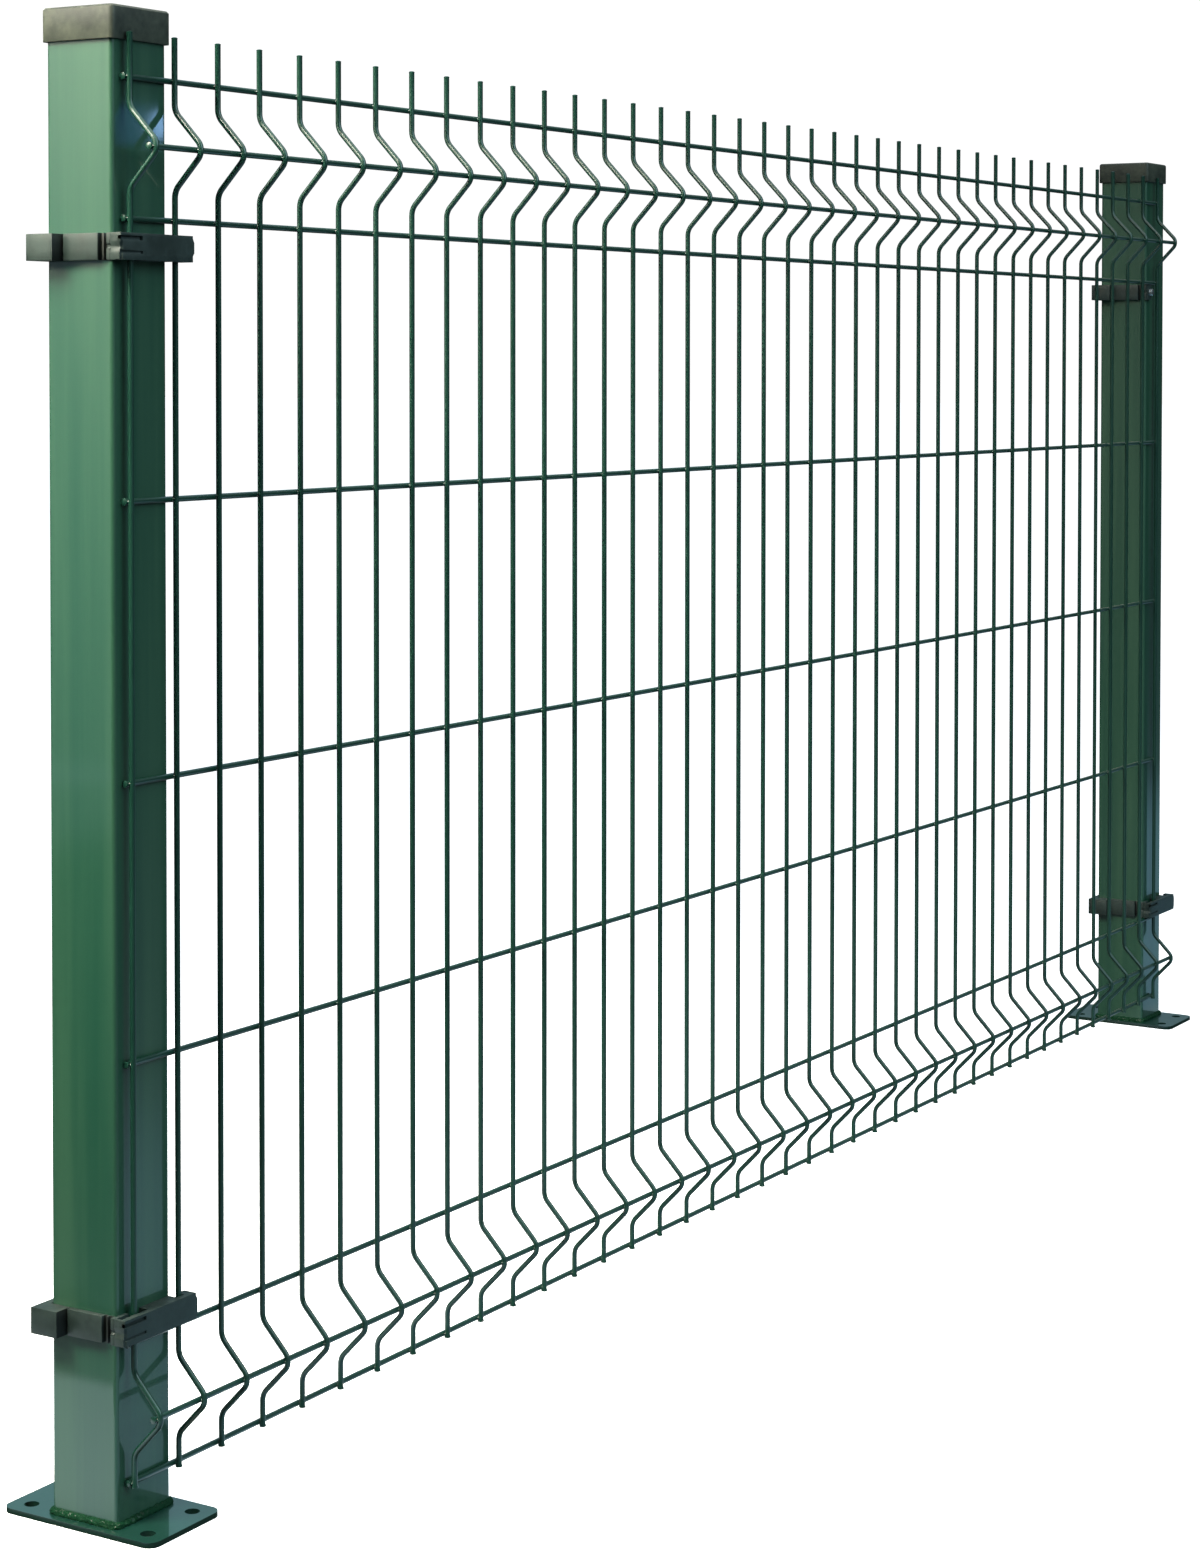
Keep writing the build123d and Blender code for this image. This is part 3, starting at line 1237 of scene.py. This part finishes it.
@dataclass
class Clamp:
    """A clamp: the yoke round the post, its bolt and the bar over the mesh.

    X counts from the post's middle, Y from the frame's, Z from the clamp's lower edge.

    Attributes:
        side: Which post it holds.
        place: Whether it is the lower or the upper clamp.
        arm_x: The outer face of the yoke's arm.
        tab_x: The outer face of the yoke's tab.
        recess: How deep the tab's grooves are.
        knuckle: How far the tab's knuckle stands out.
        slot: How deep the slot beside the ear is.
        grooves_y: The tab's two grooves.
        knuckle_y: The knuckle.
        slot_y: The slot.
        yoke_cuts: The cuts across the yoke's arms.
        yoke_levels: The cuts along them.
        waist_z: Where the knuckle draws in.
        waist: How far it draws in, for a knuckle of 1.
        dark_y: The stretches of the arm that lie in shade.
        dark_x: How far from the arm's outer face they lie.
        dark_tilt: How far up or down a face there may look, where 1 is fully.
        ear_y: The side of the ear that turns to the front.
        ear_front: How squarely its face has to face the front, where 1 is fully.
        bar_left: The bar's left end.
        bar_depth: How thick the bar is between its pads.
        bar_cuts: The cuts across the bar.
        bar_levels: The cuts along it.
        pads: Each pad's left and right end and the Y that it reaches.
        furrows: Each furrow's lower and upper edge and its depth.
        furrow_end: The furrows' right end.
        notch: How deep the notch in the bar's left end is.
        notch_z: Its lower and upper edge.
        thinned: How much thinner the left end is below its hook.
        hook: The hook's length and its lower edge.
        point: How far the corners of the bar's right end are drawn back.
        point_z: Half the height that stays.
        edge: How wide the rounding of the edges is.
        head: The radius and the height of the bolt's head.
        flange: The thickness of its flange.
        shank: The radius of its shank.
        chamfer: How wide the chamfer of its head is.
        bolt_edge: How wide the rounding of its edges is.
    """

    side: Side
    place: Place
    arm_x: float = -35.3 * MM
    tab_x: float = -33.3 * MM
    recess: float = 2.2 * MM
    knuckle: float = 2.2 * MM
    slot: float = 3.0 * MM
    grooves_y: tuple[Span, ...] = (mm(-23.55, -21.1), mm(-29.25, -25.25))
    knuckle_y: Span = mm(-32.45, -29.35)
    slot_y: Span = mm(10.75, 12.6)
    yoke_cuts: tuple[float, ...] = mm(
        -32.6, -32.4, -29.4, -29.2, -25.3, -25.1, -23.7, -23.5, -21.2, 10.6, 10.8
    )
    yoke_levels: tuple[float, ...] = mm(7.6, 8.6, 10.4, 11.4)
    waist_z: Span = mm(8.5, 10.5)
    waist: float = 0.5
    dark_y: tuple[Span, ...] = (mm(-29.35, -21.0), mm(10.7, 12.4))
    dark_x: Span = mm(0.4, 6.0)
    dark_tilt: float = 0.5
    ear_y: Span = mm(12.0, 12.8)
    ear_front: float = 0.7
    bar_left: float = -36 * MM
    bar_depth: float = 4.6 * MM
    bar_cuts: tuple[float, ...] = mm(-34.4, -33.6, -12, -5, 28, 36.5)
    bar_levels: tuple[float, ...] = mm(4.5, 6.5, 8, 10, 12, 14, 17)
    pads: tuple[tuple[float, ...], ...] = (
        mm(-36, -33.6, -33), mm(-5, 28, -30), mm(36.5, 46, -31.5)
    )
    furrows: tuple[tuple[float, ...], ...] = (mm(14, 17, 2.6), mm(4.5, 6.5, 1.4))
    furrow_end: float = -12 * MM
    notch: float = 0.9 * MM
    notch_z: Span = mm(7.9, 10.1)
    thinned: float = 1.2 * MM
    hook: Span = mm(2.0, 13.9)
    point: float = 1.6 * MM
    point_z: float = 5.0 * MM
    edge: float = 0.45 * MM
    head: Span = mm(4.5, 3.5)
    flange: float = 0.8 * MM
    shank: float = 2.4 * MM
    chamfer: float = 0.5 * MM
    bolt_edge: float = 0.15 * MM

    def node(self, kind: str) -> str:
        """Names one of the clamp's CAD nodes: its yoke, bolt or bar."""
        return f"{self.side.value}_{self.place.value}_clamp_{kind}"

    def piece(self, kind: str) -> str:
        """Names one of the clamp's new pieces."""
        return f"{self.side.value}_{self.place.value}_{kind}"

    def yoke(self) -> bpy.types.Object:
        """Shapes the yoke, with a slot beside its ear and grooves and a knuckle in its tab.

        Returns:
            The yoke.
        """
        low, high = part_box(self.node("yoke"))
        yoke = Bench.traced(self.node("yoke"), self.piece("yoke"))
        arm, tab = (low.x + high.x) / 2 + self.arm_x, (low.x + high.x) / 2 + self.tab_x
        Bench.cut(yoke, 1, list(self.yoke_cuts))
        Bench.cut(yoke, 2, [low.z + level for level in self.yoke_levels])
        for groove in self.grooves_y:
            Bench.shift(yoke, Zone(near(tab), groove), Vector((self.recess, 0, 0)))
        Bench.shift(yoke, Zone(near(tab), self.knuckle_y), Vector((-self.knuckle, 0, 0)))
        Bench.shift(yoke, Zone(near(arm), self.slot_y), Vector((self.slot, 0, 0)))
        waist_z = tuple(low.z + level for level in self.waist_z)
        Bench.shift(
            yoke, Zone(near(tab - self.knuckle), self.knuckle_y, waist_z),
            Vector((self.waist * self.knuckle, 0, 0)),
        )
        Bench.soften(yoke, self.edge)
        return yoke

    def shade(self, yoke: bpy.types.Object) -> None:
        """Paints shade into the yoke's grooves, its slot and the side of the ear that turns to the
        front, with a darker plastic.

        Args:
            yoke: The dressed yoke.
        """
        low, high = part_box(self.node("yoke"))
        arm = (low.x + high.x) / 2 + self.arm_x
        sunk = [Zone(tuple(arm + x for x in self.dark_x), dark) for dark in self.dark_y]
        ear = Zone((-math.inf, arm + MM), self.ear_y)
        # Painted shade: the grooves, the slot and the ear's front side take the darker plastic.
        yoke.data.materials.append(CLAMP_PAINTED_SHADE)
        for face in yoke.data.polygons:
            level = abs(face.normal.z) < self.dark_tilt
            inside = level and any(zone.holds(face.center) for zone in sunk)
            if inside or (face.normal.y < -self.ear_front and ear.holds(face.center)):
                face.material_index = 1

    def bar(self) -> bpy.types.Object:
        """Shapes the bar with its pads, furrows, hook and pointed end.

        Returns:
            The bar.
        """
        low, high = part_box(self.node("bar"))
        back = low.y + self.bar_depth
        bar = Bench.block(self.piece("bar"), low, Vector((high.x, back, high.z)))
        middle = low.x - self.bar_left
        Bench.cut(bar, 0, [middle + place for place in self.bar_cuts])
        Bench.cut(bar, 2, [low.z + level for level in self.bar_levels])
        for left, right, reach in self.pads:
            zone = Zone((middle + left, middle + right), (back - MM, math.inf))
            Bench.push(bar, zone, TOWARDS_BACK, Vector((0, reach - back, 0)))
        for bottom, top, depth in self.furrows:
            zone = Zone(x=(-math.inf, middle + self.furrow_end), z=(low.z + bottom, low.z + top))
            Bench.push(bar, zone, TOWARDS_FRONT, Vector((0, depth, 0)))
        notch_z = tuple(low.z + z for z in self.notch_z)
        Bench.shift(bar, Zone(near(low.x), z=notch_z), Vector((self.notch, 0, 0)))
        length, bottom = self.hook
        Bench.shift(
            bar, Zone(near(low.x, length), near(low.y), (-math.inf, low.z + bottom)),
            Vector((0, self.thinned, 0)),
        )
        below, above = near((low.z + high.z) / 2, self.point_z)
        for corner in ((-math.inf, below), (above, math.inf)):
            Bench.shift(bar, Zone(near(high.x), z=corner), Vector((-self.point, 0, 0)))
        Bench.soften(bar, self.edge)
        return bar

    def bolt(self) -> bpy.types.Object:
        """Makes the bolt with its flange, chamfered hexagon and shank.

        Returns:
            The bolt.
        """
        low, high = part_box(self.node("bolt"))
        x, z = (low.x + high.x) / 2, (low.z + high.z) / 2
        radius, height = self.head
        seat = low.y + height
        flange_y, head_y, shank_y = seat - self.flange / 2, (low.y + seat) / 2, (seat + high.y) / 2
        flange = Bench.drum("flange", Vector((x, flange_y, z)), radius, self.flange, 24)
        head = Bench.drum("head", Vector((x, head_y, z)), radius, seat - low.y, 6)
        shank = Bench.drum("shank", Vector((x, shank_y, z)), self.shank, high.y - seat, 16)
        Bench.edit(head, Zone(), TOWARDS_FRONT)
        bpy.ops.mesh.bevel(offset=self.chamfer, segments=2, affect="EDGES")
        bpy.ops.object.mode_set(mode="OBJECT")
        bolt = Bench.joined([head, flange, shank], self.piece("bolt"))
        Bench.soften(bolt, self.bolt_edge)
        return bolt

    def build(self) -> None:
        """Builds and dresses the clamp's pieces that are there."""
        yoke = self.yoke()
        dress(yoke, CLAMP_PLASTIC, Slot.CLAMP, self.node("yoke"))
        self.shade(yoke)
        dress(self.bolt(), ZINC_PLATE, Slot.BOLT, self.node("bolt"))
        if self.node("bar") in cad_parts:
            dress(self.bar(), CLAMP_PLASTIC, Slot.CLAMP, self.node("bar"))


@dataclass(frozen=True)
class Softbox:
    """One soft light.

    Attributes:
        name: Its name.
        place: Where it hangs.
        aim: What it points at.
        size: Its width.
        power: Its power in watts.
        tint: Its colour.
        spread: How wide its beam is, in degrees.
        tall: Its height for a width of 1.
    """

    name: str
    place: tuple[float, float, float]
    aim: tuple[float, float, float]
    size: float
    power: float
    tint: Colour
    spread: float = 180.0
    tall: float = 1.0

    def hang(self) -> None:
        """Hangs the light."""
        data = bpy.data.lights.new(self.name, "AREA")
        data.shape, data.size, data.size_y = "RECTANGLE", self.size, self.size * self.tall
        data.energy, data.color, data.spread = self.power, self.tint, math.radians(self.spread)
        light = bpy.data.objects.new(self.name, data)
        light.location = self.place
        way = Vector(self.aim) - Vector(self.place)
        light.rotation_euler = way.to_track_quat("-Z", "Y").to_euler()
        light.visible_camera = False
        bpy.context.scene.collection.objects.link(light)


NEAR_POST = (0.0, 0.0, 0.8)
NEAR_TOP = (0.0, 0.0, 1.05)
BAY = (0.9, 0.0, 0.4)
# Painted shade under the feet as the camera sees it, and round them as the coats mirror it.
FOOT_SHADE = (0.01, 0.014, 0.013, 1.0)
FOOT_PAINTED_SHADE = (0.006, 0.02, 0.014, 1.0)
FLOOR_BOUNCE = (0.07, 0.08, 0.09, 1.0)
# Painted glow on the floor that only reflections see; no lamp stands there.
GLOW_FRONT = (0.17, 0.36, 0.48, 1.0)
GLOW_BACK = (1.1, 1.35, 1.45, 1.0)
FAR_GLOW_TONE = (0.3, 0.44, 0.46, 1.0)
SKY_LOW = (0.02, 0.03, 0.03, 1.0)
SKY_HIGH = (0.23, 0.28, 0.31, 1.0)
SKY_STRIP = (0.28, 0.48, 0.56, 1.0)
SOFTBOXES = (
    Softbox("key", (-0.98, 0.28, 2.1), NEAR_POST, 0.8, 19.0, (1.0, 0.95, 0.80), 70),
    Softbox("sheen", (-1.38, 1.15, 1.8), NEAR_TOP, 1.0, 5.2, (1.0, 0.95, 0.78), 50),
    Softbox("overhead", (0.9, -0.5, 3.4), BAY, 3.0, 48, (0.95, 0.98, 1.0)),
    Softbox("front", (0.5, -3.0, 2.4), BAY, 2.2, 60, (0.62, 0.88, 1.0)),
    Softbox("panel", (-3.06, 2.57, 0.8), NEAR_POST, 0.45, 1.4, (0.6, 0.85, 0.95), tall=3.9),
    Softbox(
        "window", (2.343, -1.918, 1.232), NEAR_POST, 0.02, 0.045, (0.32, 0.58, 1.0), tall=2.2
    ),
    Softbox("pane", (2.292, -1.94, 1.23), NEAR_POST, 0.048, 0.009, (0.1, 0.36, 1.0), tall=1.35),
)


@dataclass
class Studio:
    """The pale floor, the soft lights and the camera.

    Attributes:
        lens: The camera's focal length in millimetres.
        shift: How far its picture is shifted.
        eye: Where it stands.
        right: The way to its right.
        up: The way up for it.
        shade: Half the patch of painted shade under a foot, as the camera sees it.
        foot: Half the patch of painted shade round a foot, as the coats mirror it, where no
            painted glow lies.
        soft: How wide a patch's edge is.
        glow_x: Where the painted glow on the floor round the near post begins.
        glow_y: Where it begins and ends in the other direction.
        glow_turn: Where it goes from its front to its back tone.
        bay: The X and the Y from where it stops short of the bay.
        far_glow_x: Where the painted glow far behind the posts begins and ends, to the left.
        far_glow_y: Where it begins, to the back.
        sky_z: Where the sky goes from its low to its high tone.
        strip: The X and the Y from where the sky's strip shows.
        strip_z: Where it begins and ends, upwards.
    """

    lens: float = 71.488
    shift: Span = (0.02525, -0.2100)
    eye: tuple[float, float, float] = (-1.7086, -1.4388, 0.8307)
    right: tuple[float, float, float] = (0.526084, -0.850433, 0.000273)
    up: tuple[float, float, float] = (0.023373, 0.014779, 0.999618)
    shade: Span = mm(34, 62)
    foot: Span = mm(50, 130)
    soft: float = 4 * MM
    glow_x: Span = (-0.29, -0.262)
    glow_y: tuple[Span, Span] = ((-1.0, -0.55), (0.3, 0.4))
    glow_turn: Span = (-0.08, 0.02)
    bay: tuple[Span, Span] = ((0.2, 0.5), (-0.1, 0.05))
    far_glow_x: tuple[Span, Span] = ((1.9, 2.5), (3.1, 3.4))
    far_glow_y: Span = (1.9, 2.3)
    sky_z: Span = (0.08, 0.5)
    strip: tuple[Span, Span] = ((0.1, 0.5), (0.0, 0.3))
    strip_z: tuple[Span, Span] = ((0.15, 0.3), (0.7, 0.85))

    def camera(self) -> None:
        """Sets the camera where the photograph was taken from."""
        data = bpy.data.cameras.new("camera")
        data.lens = self.lens
        data.sensor_width = 36
        data.shift_x, data.shift_y = self.shift
        data.clip_start, data.clip_end = 0.05, 200
        camera = bpy.data.objects.new("camera", data)
        across, above = Vector(self.right), Vector(self.up)
        turn = Matrix((across, above, across.cross(above))).transposed()
        camera.matrix_world = Matrix.Translation(self.eye) @ turn.to_4x4()
        bpy.context.scene.collection.objects.link(camera)
        bpy.context.scene.camera = camera

    def around(self, nodes: Nodes, x: Output, y: Output, half: Span) -> Output:
        """Masks the floor outside an oblong under each post.

        Args:
            nodes: The floor's nodes.
            x: The place's X, from the nearer post.
            y: The place's Y.
            half: Half the oblong's sizes.

        Returns:
            The mask.
        """
        away = nodes.maths("ABSOLUTE", y)
        return nodes.maths("MAXIMUM", nodes.ramp(x, half[0] - self.soft, half[0]),
                           nodes.ramp(away, half[1] - self.soft, half[1]))

    def glow(self, nodes: Nodes, x: Output, y: Output, clear: Output) -> Output:
        """Colours the painted glow that shows only in the coats' reflections: a bright patch on
        the floor round the near post and a softer one far behind it, where no lamp stands.

        Args:
            nodes: The floor's nodes.
            x: The place's X.
            y: The place's Y.
            clear: The mask of the floor outside the feet.

        Returns:
            The painted glow's colour.
        """
        bay = nodes.product(nodes.ramp(x, *self.bay[0]), nodes.ramp(y, *self.bay[1]))
        near_glow_mask = nodes.product(
            nodes.ramp(x, *self.glow_x), nodes.band(y, *self.glow_y), nodes.inverse(bay), clear
        )
        tint = nodes.blend(nodes.ramp(y, *self.glow_turn), GLOW_FRONT, GLOW_BACK)
        left = nodes.product(x, -1.0)
        far_glow_mask = nodes.product(nodes.band(left, *self.far_glow_x), nodes.ramp(y, *self.far_glow_y))
        return nodes.blend(near_glow_mask, nodes.blend(far_glow_mask, BLACK, FAR_GLOW_TONE), tint)

    def floor(self) -> None:
        """Lays the floor: pale to the eye with painted shade under the feet, and dull to the
        light, with painted shade round the feet and painted glow that only reflections see.
        """
        Bench.clear()
        bpy.ops.mesh.primitive_plane_add(size=120, location=(0, 0, 0))
        floor = Bench.started("floor")
        made, nodes = blank("pale_floor")
        place = nodes.add("ShaderNodeSeparateXYZ", Vector=nodes.place())
        x, y = place.outputs["X"], place.outputs["Y"]
        low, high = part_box("right_post")
        to_right = nodes.maths("ABSOLUTE", nodes.maths("SUBTRACT", x, (low.x + high.x) / 2))
        aside = nodes.maths("MINIMUM", nodes.maths("ABSOLUTE", x), to_right)
        # Painted shade under each foot, as the camera sees it through the plate's holes.
        pale = nodes.blend(self.around(nodes, aside, y, self.shade), FOOT_SHADE, WHITE)
        seen = nodes.add(
            "ShaderNodeBsdfPrincipled", Base_Color=pale, Roughness=0.9, Emission_Color=pale,
            Emission_Strength=0.9,
        )
        # Painted shade round each foot, in what the coats mirror and in the light that the floor
        # bounces.
        clear = self.around(nodes, aside, y, self.foot)
        ground = nodes.blend(clear, FOOT_PAINTED_SHADE, FLOOR_BOUNCE)
        path = nodes.add("ShaderNodeLightPath")
        # Painted glow: the floor gives off light to glossy rays only, though no lamp stands there.
        lit = nodes.add(
            "ShaderNodeBsdfPrincipled", Base_Color=ground, Roughness=1.0,
            Emission_Color=self.glow(nodes, x, y, clear),
            Emission_Strength=path.outputs["Is Glossy Ray"],
        )
        nodes.split(path, lit.outputs[0], seen.outputs[0], "ShaderNodeOutputMaterial")
        paint(floor, made)

    def sky(self) -> None:
        """Makes the surroundings: white to the eye, softer as light, with a strip to mirror."""
        world = bpy.data.worlds.new("surroundings")
        world.use_nodes = True
        world.node_tree.nodes.clear()
        nodes = Nodes(world.node_tree)
        way = nodes.add("ShaderNodeTexCoord").outputs["Generated"]
        x, y, z = nodes.add("ShaderNodeSeparateXYZ", Vector=way).outputs
        path = nodes.add("ShaderNodeLightPath")
        sky = nodes.blend(nodes.ramp(z, *self.sky_z), SKY_LOW, SKY_HIGH)
        strip = nodes.product(
            nodes.ramp(x, *self.strip[0]), nodes.ramp(y, *self.strip[1]),
            nodes.band(z, *self.strip_z), path.outputs["Is Glossy Ray"],
        )
        tone = nodes.blend(strip, sky, SKY_STRIP)
        soft = nodes.add("ShaderNodeBackground", Color=tone, Strength=1.0)
        white = nodes.add("ShaderNodeBackground", Color=WHITE, Strength=1.05)
        nodes.split(path, soft.outputs[0], white.outputs[0], "ShaderNodeOutputWorld")
        bpy.context.scene.world = world

    def build(self) -> None:
        """Sets up the studio."""
        bpy.context.scene.view_settings.view_transform = "Standard"
        self.camera()
        self.floor()
        self.sky()
        for softbox in SOFTBOXES:
            softbox.hang()


def main() -> None:
    """Builds the fence bay, its finishes and the studio."""
    Studio().build()
    log.info("studio ready")
    WeldedMesh().build()
    for side in Side:
        Footing(side).build()
        Post(side).build()
        for place in Place:
            Clamp(side, place).build()
        log.info("%s post dressed", side.value)
    Bench.clear()


if __name__ == "__main__":
    main()
